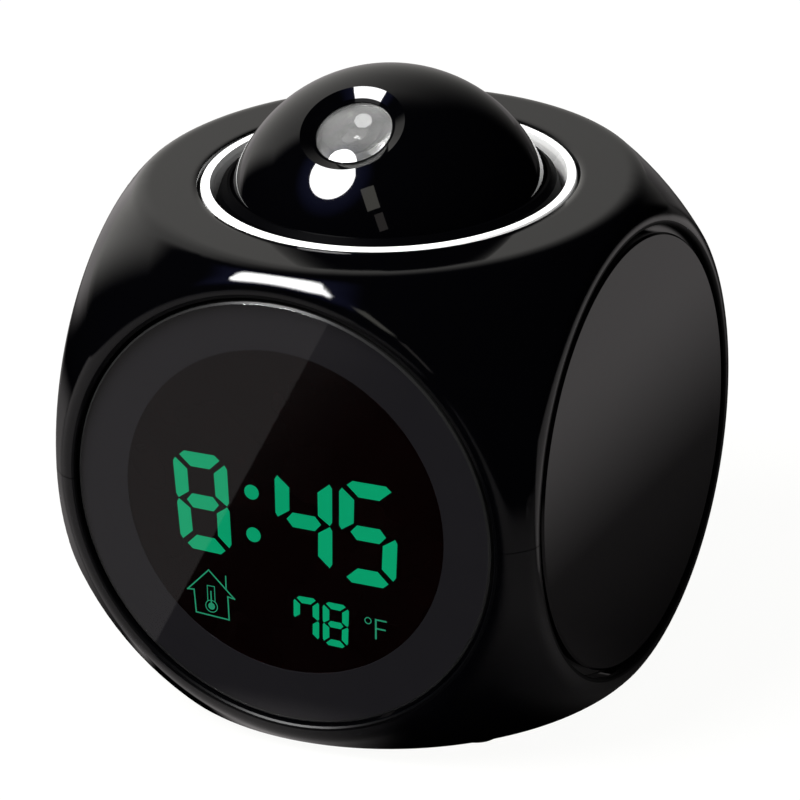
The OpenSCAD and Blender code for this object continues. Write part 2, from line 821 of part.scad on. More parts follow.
module socket() {
    low = flange_top - flange_t - 2;
    shoulder_z = rim_z / 2;
    lip_h = 0.8;
    rim_r = sqrt(pow(bowl_r, 2) - pow(rim_z, 2)) + 0.5;
    color(gloss_black) ball_axes() difference() {
        union() {
            translate([0, 0, low]) cylinder(r = socket_r, h = shoulder_z - low);
            translate([0, 0, shoulder_z])
                cylinder(r1 = socket_r, r2 = rim_r + 1, h = rim_z - lip_h - shoulder_z);
            translate([0, 0, rim_z - lip_h]) cylinder(r1 = rim_r + 1, r2 = rim_r, h = lip_h);
            translate([0, 0, flange_top - flange_t]) cylinder(r = flange_r, h = flange_t);
        }
        sphere(r = bowl_r);
        translate([0, 0, low - over]) cylinder(r = socket_r - 1.4, h = -4 - low);
        rotate([0, 90, 0]) cylinder(d = pin_d + 2 * run_gap, h = 4 * ball_r, center = true);
    }
}

// The wall of the ball between two heights, still square outside: the ball's own sphere trims it last
module ball_block(low, high) {
    difference() {
        translate([-ball_r, -ball_r, low]) cube([2 * ball_r, 2 * ball_r, high - low]);
        sphere(r = ball_r - ball_wall);
    }
}

module ball_screw_places() {
    for (side = [-1, 1]) translate([0, side * ball_screw_y, 0]) children();
}

ball_split = 0.03;
ball_screw_seat = 6;
boss_r = 2.6;
pin_boss_r = pin_d / 2 + 1.5;

module ball_top() {
    color(gloss_black) ball_axes() difference() {
        intersection() {
            union() {
                ball_block(ball_split, ball_r);
                rotate([lens_tilt, 0, 0]) translate([0, 0, 12]) cylinder(r = tube_r + 1.8, h = ball_r);
                ball_screw_places() translate([0, 0, ball_split]) cylinder(r = boss_r, h = 10);
            }
            sphere(r = ball_r);
        }
        rotate([lens_tilt, 0, 0]) {
            cylinder(r = tube_r + fit, h = lip_z);
            lens_recess();
        }
        ball_screw_places() translate([0, 0, -over]) cylinder(d = screw_d, h = 8);
        for (side = [-1, 1]) rotate([0, 90 * side, 0]) translate([0, 0, pin_in - 2 - fit])
            cylinder(r = pin_boss_r + fit, h = ball_r);
    }
}

// The hole in the lip that holds the lens, and the cone that opens from it to the ball's surface
module lens_recess() {
    low = lip_z + lip_t;
    narrow = lens_d / 2 - lip_in;
    slope = (recess_d / 2 - narrow) / (recess_z - low);
    translate([0, 0, lip_z - over]) cylinder(r = narrow, h = lip_t + 2 * over);
    translate([0, 0, low]) cylinder(r1 = narrow, r2 = narrow + slope * 3, h = 3);
}

module ball_base() {
    color(gloss_black) ball_axes() difference() {
        intersection() {
            union() {
                ball_block(ball_open_z, -ball_split);
                ball_screw_places() translate([0, 0, -9]) cylinder(r = boss_r, h = 9 - ball_split);
                for (side = [-1, 1]) rotate([0, 90 * side, 0]) translate([0, 0, pin_in - 2])
                    cylinder(r = pin_boss_r, h = ball_r);
            }
            sphere(r = ball_r);
        }
        for (side = [-1, 1]) rotate([0, 90 * side, 0]) translate([0, 0, pin_in])
            cylinder(d = pin_d + 2 * tight, h = ball_r);
        ball_screw_places() {
            translate([0, 0, ball_open_z]) cylinder(d = screw_d + 2 * fit, h = 1 - ball_open_z);
            translate([0, 0, ball_open_z - 2]) cylinder(d = head_d, h = 2 - ball_open_z - ball_screw_seat);
        }
    }
}

module pivot_pins() {
    color(metal) ball_axes() for (side = [-1, 1]) rotate([0, 90 * side, 0])
        translate([0, 0, pin_in]) cylinder(d = pin_d, h = pin_out - pin_in);
}

module ball_screws() {
    color(metal) ball_axes() ball_screw_places() translate([0, 0, -ball_screw_seat])
        screw(2 * ball_screw_seat);
}

module lens_tube() {
    seat = lens_d / 2 + 0.05;
    color(soft_black) lens_axes() difference() {
        translate([0, 0, tube_back]) cylinder(r = tube_r, h = tube_front - tube_back);
        translate([0, 0, tube_back - over]) cylinder(r = lens_bore_r, h = ball_r);
        translate([0, 0, lens_seat]) cylinder(r = seat, h = ball_r);
    }
}

module lens() {
    color([0.8, 0.85, 0.85, 0.5]) lens_axes() intersection() {
        translate([0, 0, lens_back_crown - 1]) cylinder(d = lens_d, h = 10);
        translate([0, 0, lens_crown - lens_front_r]) sphere(r = lens_front_r);
        translate([0, 0, lens_back_crown + lens_back_r]) sphere(r = lens_back_r);
    }
}

module film_slide() {
    color([0.2, 0.1, 0.1]) lens_axes() translate([0, 0, 15.5]) cylinder(r = lens_bore_r - tight, h = 0.6);
}

module light_board() {
    color(board_green) lens_axes() translate([0, 0, tube_back - fit - board_t])
        cylinder(r = light_board_r, h = board_t);
}

module light_source() {
    color([0.95, 0.9, 0.9]) lens_axes() translate([0, 0, tube_back - fit]) {
        cylinder(r = 2.9, h = 0.8);
        cylinder(r = 2.5, h = 2.6);
        translate([0, 0, 2.6]) sphere(r = 2.5);
    }
}

module case_screws() {
    color(metal) corners() translate([0, 0, screw_head_z]) screw(screw_tip_z - screw_head_z);
}

module foot(i) {
    edge = 0.4;
    color([0.1, 0.1, 0.1]) translate([feet[i][0] * boss_at, feet[i][1] * boss_at, 0]) {
        cylinder(d1 = foot_d - 2 * edge, d2 = foot_d, h = edge);
        translate([0, 0, edge]) cylinder(d = foot_d, h = foot_h + foot_sink - edge);
    }
}

module foot_1() { foot(0); }

module foot_2() { foot(1); }

module foot_3() { foot(2); }

module foot_4() { foot(3); }

upper_shell();
lower_shell();
front_window();
window_mask();
display_panel();
display_frame();
backlight();
main_board();
board_chips();
board_screws();
side_disc_left();
side_disc_right();
rear_panel();
button(0);  // button_1
button(1);  // button_2
button(2);  // button_3
button(3);  // button_4
key_board();
key_switches();
speaker_basket();
speaker_cone();
battery_door();
battery_cell_1();
battery_cell_2();
battery_cell_3();
contact_springs();
contact_plates();
collar_ring();
carrier_plate();
press_ring();
press_springs();
talk_switch();
socket();
ball_top();
ball_base();
pivot_pins();
ball_screws();
lens_tube();
lens();
film_slide();
light_board();
light_source();
case_screws();
foot_1();
foot_2();
foot_3();
foot_4();
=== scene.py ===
import math

import bmesh
import bpy
from mathutils import Matrix, Quaternion, Vector


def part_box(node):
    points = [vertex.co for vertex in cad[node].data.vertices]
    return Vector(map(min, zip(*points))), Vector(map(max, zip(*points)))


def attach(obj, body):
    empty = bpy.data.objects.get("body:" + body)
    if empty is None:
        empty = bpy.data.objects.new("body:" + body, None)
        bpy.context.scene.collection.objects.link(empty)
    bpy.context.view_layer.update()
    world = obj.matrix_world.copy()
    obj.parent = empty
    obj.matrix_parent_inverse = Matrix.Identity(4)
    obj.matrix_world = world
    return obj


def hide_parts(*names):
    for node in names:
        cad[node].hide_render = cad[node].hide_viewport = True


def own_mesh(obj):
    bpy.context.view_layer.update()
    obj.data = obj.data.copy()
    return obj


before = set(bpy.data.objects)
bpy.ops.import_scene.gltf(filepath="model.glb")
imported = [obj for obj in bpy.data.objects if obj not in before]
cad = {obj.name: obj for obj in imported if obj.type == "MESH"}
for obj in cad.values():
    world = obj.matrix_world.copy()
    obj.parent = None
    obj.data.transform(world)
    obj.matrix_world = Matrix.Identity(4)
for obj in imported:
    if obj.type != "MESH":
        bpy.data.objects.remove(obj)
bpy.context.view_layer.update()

scene = bpy.context.scene
scene.view_settings.view_transform = "Standard"
MM = 0.001


# Camera: it stands in front of the clock, to its right and a little above it, with a long lens. The middle
# of the clock's body lies close to the middle of the view, so the shift stays small.
view_pixels = 800
middle_pixel = Vector((397.07, 412.06))
focal_pixels = 6664
film_width = 36
body_middle = Vector((0, 0, 42.5)) * MM
camera_azimuth = math.radians(26.374)
camera_elevation = math.radians(24.344)
camera_roll = math.radians(-2.067)
camera_distance = 1088.4 * MM

away = Vector((math.sin(camera_azimuth) * math.cos(camera_elevation),
               -math.cos(camera_azimuth) * math.cos(camera_elevation),
               math.sin(camera_elevation)))
camera = bpy.data.objects.new("camera", bpy.data.cameras.new("camera"))
scene.collection.objects.link(camera)
camera.rotation_mode = "QUATERNION"
camera.location = body_middle + away * camera_distance
camera.rotation_quaternion = away.to_track_quat("Z", "Y") @ Quaternion((0, 0, 1), camera_roll)
camera.data.sensor_width = film_width
camera.data.lens = film_width * focal_pixels / view_pixels
camera.data.shift_x = (view_pixels / 2 - middle_pixel.x) / view_pixels
camera.data.shift_y = (middle_pixel.y - view_pixels / 2) / view_pixels
camera.data.clip_start = 0.1
camera.data.clip_end = 20
scene.camera = camera


# Studio: a white sweep for the camera. Polished black mirrors what stands round it, so the room has a pale
# wall behind and to the left, darkness in front and above, and a faint blue spill round the main lamp.
def add_node(tree, kind, **values):
    """A node with its settings and sockets filled in; a socket takes a number, a colour or another socket."""
    made = tree.nodes.new(kind)
    for name, value in values.items():
        if hasattr(made, name):
            setattr(made, name, value)
            continue
        key = int(name[1:]) if name[0] == "i" and name[1:].isdigit() else name.replace("_", " ")
        if isinstance(value, bpy.types.NodeSocket):
            tree.links.new(value, made.inputs[key])
        else:
            made.inputs[key].default_value = value
    return made


def maths(tree, operation, a, b=0.0, clamp=False):
    """One sum on two numbers or sockets."""
    return add_node(tree, "ShaderNodeMath", operation=operation, use_clamp=clamp, i0=a, i1=b).outputs[0]


def product(tree, first, *others):
    """Numbers or sockets multiplied together."""
    for other in others:
        first = maths(tree, "MULTIPLY", first, other)
    return first


def vector_maths(tree, operation, a, b=(0, 0, 0)):
    """One sum on two vectors or sockets; a length or a dot product comes out as a number."""
    made = add_node(tree, "ShaderNodeVectorMath", operation=operation, i0=a, i1=b)
    return made.outputs["Value" if operation in ("LENGTH", "DOT_PRODUCT") else "Vector"]


def parts_of(tree, vector):
    """The X, Y and Z of a vector."""
    return add_node(tree, "ShaderNodeSeparateXYZ", i0=vector).outputs


def place_in(tree):
    """Where the shaded point lies in its object, which is its place in the rested clock."""
    return add_node(tree, "ShaderNodeTexCoord").outputs["Object"]


def ramp(tree, value, start, end):
    """0 below start, 1 above end, smooth between; start may lie above end."""
    made = add_node(tree, "ShaderNodeMapRange", interpolation_type="SMOOTHSTEP", Value=value, From_Min=start,
                    From_Max=end)
    return made.outputs["Result"]


def overlay(tree, mask, below, above):
    """A shader laid over another where the mask is 1."""
    return add_node(tree, "ShaderNodeMixShader", Fac=mask, i1=below, i2=above).outputs[0]


def compass(azimuth, elevation):
    """The direction at an azimuth from the back, +Y, towards +X, and an elevation, in degrees."""
    a, e = math.radians(azimuth), math.radians(elevation)
    return Vector((math.sin(a) * math.cos(e), math.cos(a) * math.cos(e), math.sin(e)))


def nearness(tree, direction, towards, inner, outer):
    """1 within inner degrees of a direction, 0 beyond outer."""
    closeness = vector_maths(tree, "DOT_PRODUCT", direction, towards)
    return ramp(tree, closeness, math.cos(math.radians(outer)), math.cos(math.radians(inner)))


# The wall fades in from the right at wall_fade and ends at the left at wall_end, where its edge leans over.
key_azimuth, key_elevation = -143, 49
wall_fade = math.radians(15), math.radians(-50)
wall_end = math.radians(-72.5), math.radians(-58)
wall_top = 0.94, 0.7
wall_lean, lean_height = math.radians(50), 0.35
wall_tone, wall_colour = 0.46, (1, 0.98, 0.94)
spill_inner, spill_outer = 16, 29
spill_tone, spill_colour = 0.24, (0.3, 0.35, 1)
sweep_white = (1, 1, 0.99, 1)
fill_strength = 0.6

world = bpy.data.worlds.new("studio")
scene.world = world
world.use_nodes = True
sky = world.node_tree
sky.nodes.clear()
ray = add_node(sky, "ShaderNodeLightPath").outputs
looks = add_node(sky, "ShaderNodeTexCoord").outputs["Generated"]
heading = parts_of(sky, looks)
azimuth = maths(sky, "ARCTAN2", heading["X"], heading["Y"])
rise = maths(sky, "MINIMUM", maths(sky, "MAXIMUM", heading["Z"], 0.0), lean_height)
leaning = maths(sky, "ADD", azimuth, product(sky, rise, wall_lean))
wall = product(sky, ramp(sky, azimuth, *wall_fade), ramp(sky, leaning, *wall_end),
               ramp(sky, heading["Z"], *wall_top), wall_tone)
near_key = nearness(sky, looks, compass(key_azimuth, key_elevation), spill_inner, spill_outer)
spill = product(sky, near_key, spill_tone)
room = add_node(sky, "ShaderNodeCombineColor")
for channel, (spill_part, wall_part) in enumerate(zip(spill_colour, wall_colour)):
    tone = maths(sky, "ADD", product(sky, spill, spill_part), product(sky, wall, wall_part))
    sky.links.new(tone, room.inputs[channel])
sweep = add_node(sky, "ShaderNodeBackground", Color=sweep_white, Strength=1)
mirrored = add_node(sky, "ShaderNodeBackground", Color=room.outputs[0], Strength=1)
fill = add_node(sky, "ShaderNodeBackground", Color=(1, 1, 1, 1), Strength=fill_strength)
straight = maths(sky, "ADD", ray["Is Camera Ray"], ray["Is Transmission Ray"], clamp=True)
lighting = overlay(sky, ray["Is Glossy Ray"], fill.outputs[0], mirrored.outputs[0])
add_node(sky, "ShaderNodeOutputWorld", Surface=overlay(sky, straight, lighting, sweep.outputs[0]))

# The floor is a pale board. To glossy rays it glows with painted light and shadow: in the polished sides it
# shows brighter to the left, along the foot of the front and behind the clock.
floor_size = 3.0
floor_mesh = bpy.data.meshes.new("floor")
shape = bmesh.new()
bmesh.ops.create_grid(shape, x_segments=1, y_segments=1, size=floor_size / 2)
shape.to_mesh(floor_mesh)
shape.free()
floor = bpy.data.objects.new("floor", floor_mesh)
scene.collection.objects.link(floor)
board = bpy.data.materials.new("floor_board")
board.use_nodes = True
tree = board.node_tree
tree.nodes.clear()
ray = add_node(tree, "ShaderNodeLightPath").outputs
place = parts_of(tree, place_in(tree))
across, deep = place["X"], place["Y"]
slant, far_slant = 0.2413, 0.2
left_edge = maths(tree, "SUBTRACT", product(tree, deep, slant), across)
far_edge = maths(tree, "SUBTRACT", deep, product(tree, across, far_slant))

# Painted light: the board's glow is brighter at the foot of the pale wall, and at the right side towards the
# front.
foot_end, foot_tone = (math.radians(-75), math.radians(-62)), 0.44
floor_azimuth = maths(tree, "ARCTAN2", across, deep)
wall_foot = product(tree, ramp(tree, floor_azimuth, *wall_fade), ramp(tree, floor_azimuth, *foot_end),
                    foot_tone)
right_behind, right_gain = 0.05, 0.1
in_front = ramp(tree, deep, 20 * MM, -20 * MM)
right_tone = maths(tree, "ADD", product(tree, in_front, right_gain), right_behind)

# Each patch of painted light has a tone and edges. An edge says what the patch fades along, where it starts
# and where it is full, in millimetres. Right under the clock the board stays dark, a painted shadow.
painted_light_patches = {
    "left of the front": (0.32, (left_edge, 22, 22.6), (deep, -20, -45)),
    "right, behind": (0.36, (deep, 0, 30), (deep, 450, 250), (across, 62, 103)),
    "foot of the wall": (wall_foot, (far_edge, 150, 400)),
    "right side": (right_tone, (across, 30, 80), (across, 300, 120)),
    "left side": (0.18, (across, -40, -100), (across, -320, -200)),
    "foot of the front": (0.5, (deep, -62, -50), (deep, -20, -36), (across, 20, -12), (across, -60, -30)),
}
tone = 0.0
for patch_tone, *edges in painted_light_patches.values():
    fades = [ramp(tree, along, start * MM, full * MM) for along, start, full in edges]
    tone = maths(tree, "MAXIMUM", tone, product(tree, patch_tone, *fades))
# Painted shadow: the glow goes out right under the clock's body.
beyond_side = ramp(tree, maths(tree, "ABSOLUTE", across), 34 * MM, 42 * MM)
beyond_front = ramp(tree, maths(tree, "ABSOLUTE", deep), 36 * MM, 41 * MM)
tone = product(tree, tone, maths(tree, "MAXIMUM", beyond_side, beyond_front))

# To the camera 95 % of the board is plain white, and the rest shows the shadow.
whitened = 0.95
# Glossy rays see the board as this painted glow of light and shadow, not as a lit board.
mirrored = add_node(tree, "ShaderNodeEmission", Strength=tone, Color=(1, 0.95, 0.95, 1))
matt = add_node(tree, "ShaderNodeBsdfPrincipled", Base_Color=(0.85, 0.85, 0.84, 1), Roughness=1.0)
white = add_node(tree, "ShaderNodeEmission", Color=sweep_white, Strength=1.0)
straight = maths(tree, "ADD", ray["Is Camera Ray"], ray["Is Transmission Ray"])
shown = overlay(tree, product(tree, straight, whitened), matt.outputs[0], white.outputs[0])
add_node(tree, "ShaderNodeOutputMaterial",
         Surface=overlay(tree, ray["Is Glossy Ray"], shown, mirrored.outputs[0]))
floor_mesh.materials.append(board)


def lamp(name, azimuth, elevation, width, height, radiance, shape="RECTANGLE", colour=(1, 1, 1), turn=0):
    """A flat lamp of a width and height in degrees that faces the clock."""
    distance = 1.3
    aim = Vector((0, 0, 80)) * MM
    data = bpy.data.lights.new(name, "AREA")
    data.shape = shape
    data.size = 2 * distance * math.tan(math.radians(width / 2))
    data.size_y = 2 * distance * math.tan(math.radians(height / 2))
    area = data.size * data.size_y * (math.pi / 4 if shape == "ELLIPSE" else 1)
    data.energy = radiance * math.pi * area
    data.color = colour
    towards = compass(azimuth, elevation)
    made = bpy.data.objects.new(name, data)
    made.location = aim + towards * distance
    made.rotation_mode = "QUATERNION"
    made.rotation_quaternion = towards.to_track_quat("Z", "Y") @ Quaternion((0, 0, 1), math.radians(turn))
    made.visible_camera = False
    scene.collection.objects.link(made)


lamp("softbox", key_azimuth, key_elevation, width=32, height=31, radiance=30, shape="ELLIPSE")
lamp("window_upper_pane", 171, 43, width=9, height=16, radiance=1.1, colour=(1, 0.98, 0.88), turn=26)
lamp("window_lower_pane", 160.5, 27.5, width=6, height=12, radiance=0.45, colour=(1, 0.92, 0.88), turn=20)


# Shells and battery door: polished black ABS mouldings. The skin is smooth, with faint changes of gloss
# from handling, and it is deep black under a clear skin.
def new_group(name, inputs, outputs):
    """A shader node group with named sockets; returns its tree, its inputs and its output node."""
    group = bpy.data.node_groups.new(name, "ShaderNodeTree")
    for socket, value in inputs.items():
        made = group.interface.new_socket(socket, in_out="INPUT", socket_type="NodeSocketFloat")
        made.default_value = value
    for socket, kind in outputs.items():
        group.interface.new_socket(socket, in_out="OUTPUT", socket_type="NodeSocket" + kind)
    given = group.nodes.new("NodeGroupInput").outputs
    result = group.nodes.new("NodeGroupOutput")
    return group, given, result


def between(tree, share, low, high):
    """The value that lies at a share of the way from low to high."""
    return maths(tree, "ADD", product(tree, share, maths(tree, "SUBTRACT", high, low)), low)


handled, given, result = new_group("handled_gloss", {"Scale": 60, "Low": 0.05, "High": 0.1},
                                   {"Roughness": "Float"})
cloud = add_node(handled, "ShaderNodeTexNoise", Vector=place_in(handled), Scale=given["Scale"], Detail=3)
touch_start, touch_full = 0.4, 0.7
touched = ramp(handled, cloud.outputs[0], touch_start, touch_full)
handled.links.new(between(handled, touched, given["Low"], given["High"]), result.inputs["Roughness"])

grain, given, result = new_group("moulded_grain", {"Scale": 2500, "Low": 0.3, "High": 0.45},
                                 {"Roughness": "Float", "Height": "Float"})
spot = place_in(grain)
pebble = add_node(grain, "ShaderNodeTexVoronoi", Vector=spot, Scale=given["Scale"])
cloud = add_node(grain, "ShaderNodeTexNoise", Vector=spot, Scale=90, Detail=2)
grain.links.new(between(grain, cloud.outputs[0], given["Low"], given["High"]), result.inputs["Roughness"])
grain.links.new(pebble.outputs["Distance"], result.inputs["Height"])


def finish(name, colour, group=None, bump=0.0, scale=None, low=None, high=None, **sockets):
    """A material with one Principled shader, its gloss and fine relief taken from a group."""
    relief_height = 0.1 * MM
    made = bpy.data.materials.new(name)
    made.use_nodes = True
    tree = made.node_tree
    shader = tree.nodes["Principled BSDF"]
    shader.inputs["Base Color"].default_value = (*colour, 1)
    for socket, value in sockets.items():
        shader.inputs[socket.replace("_", " ")].default_value = value
    if group:
        effect = add_node(tree, "ShaderNodeGroup", node_tree=group)
        for socket, value in (("Scale", scale), ("Low", low), ("High", high)):
            if value is not None:
                effect.inputs[socket].default_value = value
        tree.links.new(effect.outputs["Roughness"], shader.inputs["Roughness"])
        if bump:
            relief = add_node(tree, "ShaderNodeBump", Strength=bump, Distance=relief_height,
                              Height=effect.outputs["Height"])
            tree.links.new(relief.outputs[0], shader.inputs["Normal"])
    return made


def dress(material, *names):
    """Gives CAD nodes a material."""
    for name in names:
        for holder in cad[name].material_slots:
            holder.material = material


deep_black = (0.0004, 0.0004, 0.0006)
polish = {"low": 0.03, "high": 0.055}
skin_roughness = 0.035
polished_black = finish("polished_black", deep_black, handled, **polish, IOR=1.49)
dress(polished_black, "battery_door")


# The rims of the disc pockets are eased by hand after moulding, so they shine less than the skin round them.
# Each is a ring in a face of the clock, with its radii measured from the middle of that face.
def place_from_middle(tree):
    """Where the shaded point lies from the middle of the clock's body."""
    return vector_maths(tree, "SUBTRACT", place_in(tree), body_middle)


def reach(tree, place, directions):
    """How far a place lies from the middle in the directions that are 1."""
    return vector_maths(tree, "LENGTH", vector_maths(tree, "MULTIPLY", place, directions))


shell_black = finish("shell_black", deep_black, handled, **polish, Specular_IOR_Level=0.12, Coat_IOR=1.41,
                     Coat_Roughness=skin_roughness)
tree = shell_black.node_tree
shader = tree.nodes["Principled BSDF"]
place = place_from_middle(tree)
height = parts_of(tree, place)["Z"]
rim_inner, rim_outer, rim_depth = 36.7 * MM, 37.6 * MM, 41.6 * MM
eased_roughness = 0.3
eased = 0.0
for in_face, through in (((1, 0, 1), (0, 1, 0)), ((0, 1, 1), (1, 0, 0))):
    radius = reach(tree, place, in_face)
    past_inner = maths(tree, "GREATER_THAN", radius, rim_inner)
    within_outer = maths(tree, "LESS_THAN", radius, rim_outer)
    near_face = maths(tree, "GREATER_THAN", reach(tree, place, through), rim_depth)
    eased = maths(tree, "MAXIMUM", eased, product(tree, past_inner, within_outer, near_face))
smooth = shader.inputs["Roughness"].links[0].from_socket
satin = add_node(tree, "ShaderNodeMix", Factor=eased, i2=smooth, i3=eased_roughness)
tree.links.new(satin.outputs[0], shader.inputs["Roughness"])
tree.links.new(maths(tree, "SUBTRACT", 1.0, eased), shader.inputs["Coat Weight"])

# Round the top the mould was polished until its roundings run into each other without an edge.
blend_radius, blend_low, blend_high = 1.6 * MM, 10 * MM, 16 * MM
rounded = add_node(tree, "ShaderNodeBevel", samples=8, Radius=blend_radius).outputs["Normal"]
plain = add_node(tree, "ShaderNodeNewGeometry").outputs["Normal"]
top_part = ramp(tree, height, blend_low, blend_high)
flowing = add_node(tree, "ShaderNodeMix", data_type="VECTOR", Factor=top_part, i4=plain, i5=rounded)
for socket in ("Normal", "Coat Normal"):
    tree.links.new(flowing.outputs[1], shader.inputs[socket])
dress(shell_black, "upper_shell", "lower_shell")


# Front window: a clear acrylic disc, polished flat, glued into the front pocket on a dark printed ring.
# The glue fills the gap behind it, so only its front face mirrors the room.
def mix_in(material, mask, kind, **values):
    """Lays another shader over a material where a mask is 1."""
    tree = material.node_tree
    surface = tree.nodes["Material Output"].inputs["Surface"]
    other = add_node(tree, kind, **values)
    tree.links.new(overlay(tree, mask, surface.links[0].from_socket, other.outputs[0]), surface)


def pass_lamp_light(material, tint):
    """Lets lamp light through a material without bending its shadow."""
    ray = add_node(material.node_tree, "ShaderNodeLightPath").outputs
    mix_in(material, ray["Is Shadow Ray"], "ShaderNodeBsdfTransparent", Color=(*tint, 1))


def clear_plastic(name, tint, ior, clearness=1.0):
    """Clear moulded plastic."""
    return finish(name, tint, Roughness=0.0, IOR=ior, Transmission_Weight=clearness)


window_tint, glue_tint = (0.94, 0.94, 0.95), (0.97, 0.97, 0.97, 1)
ring_print, rim_black = (0.0122, 0.0116, 0.0132), (0.01, 0.01, 0.01, 1)
view_radius, rim_radius = 27.9 * MM, 35.96 * MM
glue_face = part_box("front_window")[1].y - 0.1 * MM
window_acrylic = clear_plastic("window_acrylic", window_tint, 1.49)
tree = window_acrylic.node_tree
place = place_from_middle(tree)
radius = reach(tree, place, (1, 0, 1))
glued = maths(tree, "GREATER_THAN", parts_of(tree, place)["Y"], glue_face)
printed = product(tree, glued, maths(tree, "GREATER_THAN", radius, view_radius))
rim = maths(tree, "GREATER_THAN", radius, rim_radius)
mix_in(window_acrylic, glued, "ShaderNodeBsdfTransparent", Color=glue_tint)
mix_in(window_acrylic, printed, "ShaderNodeBsdfDiffuse", Color=(*ring_print, 1))
mix_in(window_acrylic, rim, "ShaderNodeBsdfPrincipled", Base_Color=rim_black, Roughness=0.3,
       Specular_IOR_Level=0.15)
pass_lamp_light(window_acrylic, window_tint)
dress(window_acrylic, "front_window")
mask_print = finish("mask_print", ring_print, grain, low=0.5, high=0.6, Specular_IOR_Level=0.0)
pass_lamp_light(mask_print, (1, 1, 1))
dress(mask_print, "window_mask")


# Display: liquid crystal glass, black but for its lit green signs: hours and minutes, and a small house
# with a thermometer beside the room's temperature. Each sign is a thin print on the front of the glass.
dress(finish("display_glass", (0.0009, 0.0001, 0.0001), handled, low=0.25, high=0.3, Specular_IOR_Level=0.05),
      "display_panel")
display_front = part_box("display_panel")[0].y
mark_depth = 0.05 * MM
mark_shift = Vector((0.28, 0.28))
round_segments = 32
digit_w, digit_h = 9.7, 17.4
bar_width = 2.6
middle_h = digit_h / 2


def seven_segments():
    """The outlines of the segments a to g of one digit, in millimetres from its lower left corner."""
    top = [(2.15, digit_h), (1.25, digit_h - 0.8), (3.15, digit_h - bar_width)]
    top += [(digit_w - x, y) for x, y in reversed(top)]
    side = [(0.45, digit_h - 1.45), (0, digit_h - 2.15), (0, middle_h + 0.75), (0.4, middle_h + 0.1),
            (2.4, middle_h + 1.5), (2.45, digit_h - 3.2)]
    bar = [(2.95, middle_h + 1.25), (1.9, middle_h), (2.95, middle_h - 1.25)]
    bar += [(digit_w - x, y) for x, y in reversed(bar)]

    def across(outline):
        return [(digit_w - x, y) for x, y in outline]

    def upended(outline):
        return [(x, digit_h - y) for x, y in outline]

    return {"a": top, "b": across(side), "c": across(upended(side)), "d": upended(top),
            "e": upended(side), "f": side, "g": bar}


def on_display(point):
    """The place on the front of the display of an (x, z) point in millimetres about its middle."""
    x, z = (Vector(point) + mark_shift) * MM
    return Vector((x, display_front, body_middle.z + z))


def raise_mark(shape, faces):
    """Gives flat faces on the display the depth of a sign."""
    grown = bmesh.ops.extrude_face_region(shape, geom=faces)["geom"]
    moved = [part for part in grown if isinstance(part, bmesh.types.BMVert)]
    bmesh.ops.translate(shape, verts=moved, vec=(0, -mark_depth, 0))


def plate(shape, outline):
    """A thin solid on the display, from its outline."""
    corners = [shape.verts.new(on_display(point)) for point in outline]
    raise_mark(shape, [shape.faces.new(corners)])


def digit(shape, lit, corners):
    """A digit whose box has the given lower left, lower right, upper right and upper left corners."""
    low_left, low_right, top_right, top_left = (Vector(corner) for corner in corners)
    for name in lit:
        outline = []
        for x, y in seven_segments()[name]:
            u, v = x / digit_w, y / digit_h
            low = low_left.lerp(low_right, u)
            outline.append(low.lerp(top_left.lerp(top_right, u), v))
        plate(shape, outline)


def line(shape, start, end, width):
    """A straight stroke with square ends that reach half its width past its points."""
    start, end = Vector(start), Vector(end)
    along = (end - start).normalized() * width / 2
    side = Vector((-along.y, along.x))
    plate(shape, [start - along - side, start - along + side, end + along + side, end + along - side])


def dot(shape, centre, radius, hole=0.0):
    """A round dot, or a ring where it has a hole."""
    upright = Matrix.Translation(on_display(centre)) @ Matrix.Rotation(math.radians(90), 4, "X")
    outer = bmesh.ops.create_circle(shape, cap_ends=not hole, segments=round_segments, radius=radius * MM,
                                    matrix=upright)["verts"]
    faces = list(outer[0].link_faces)
    if hole:
        inner = bmesh.ops.create_circle(shape, segments=round_segments, radius=hole * MM,
                                        matrix=upright)["verts"]
        edges = dict.fromkeys(edge for vert in outer + inner for edge in vert.link_edges)
        faces = bmesh.ops.bridge_loops(shape, edges=list(edges))["faces"]
    raise_mark(shape, faces)


def mesh_object(name, shape, material, body="case", smooth=None):
    """Makes a shape a piece that rides on a body; edges that turn less than smooth degrees are soft."""
    bmesh.ops.recalc_face_normals(shape, faces=shape.faces)
    if smooth is not None:
        for face in shape.faces:
            face.smooth = True
        for edge in shape.edges:
            edge.smooth = edge.calc_face_angle(0) < math.radians(smooth)
    mesh = bpy.data.meshes.new(name)
    shape.to_mesh(mesh)
    shape.free()
    mesh.materials.append(material)
    made = bpy.data.objects.new(name, mesh)
    scene.collection.objects.link(made)
    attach(made, body)
    return made


# The light guide behind the glass is a little uneven, so the signs are not all equally bright.
backlight_glow, given, result = new_group("backlight_glow", {"Red": 0, "Green": 0, "Blue": 0},
                                          {"Glow": "Color"})
glow_least, glow_most = 0.92, 1.08
patch = add_node(backlight_glow, "ShaderNodeTexNoise", Vector=place_in(backlight_glow), Scale=55, Detail=1)
level = between(backlight_glow, patch.outputs[0], glow_least, glow_most)
glow = add_node(backlight_glow, "ShaderNodeCombineColor")
for channel in ("Red", "Green", "Blue"):
    backlight_glow.links.new(product(backlight_glow, given[channel], level), glow.inputs[channel])
backlight_glow.links.new(glow.outputs[0], result.inputs["Glow"])


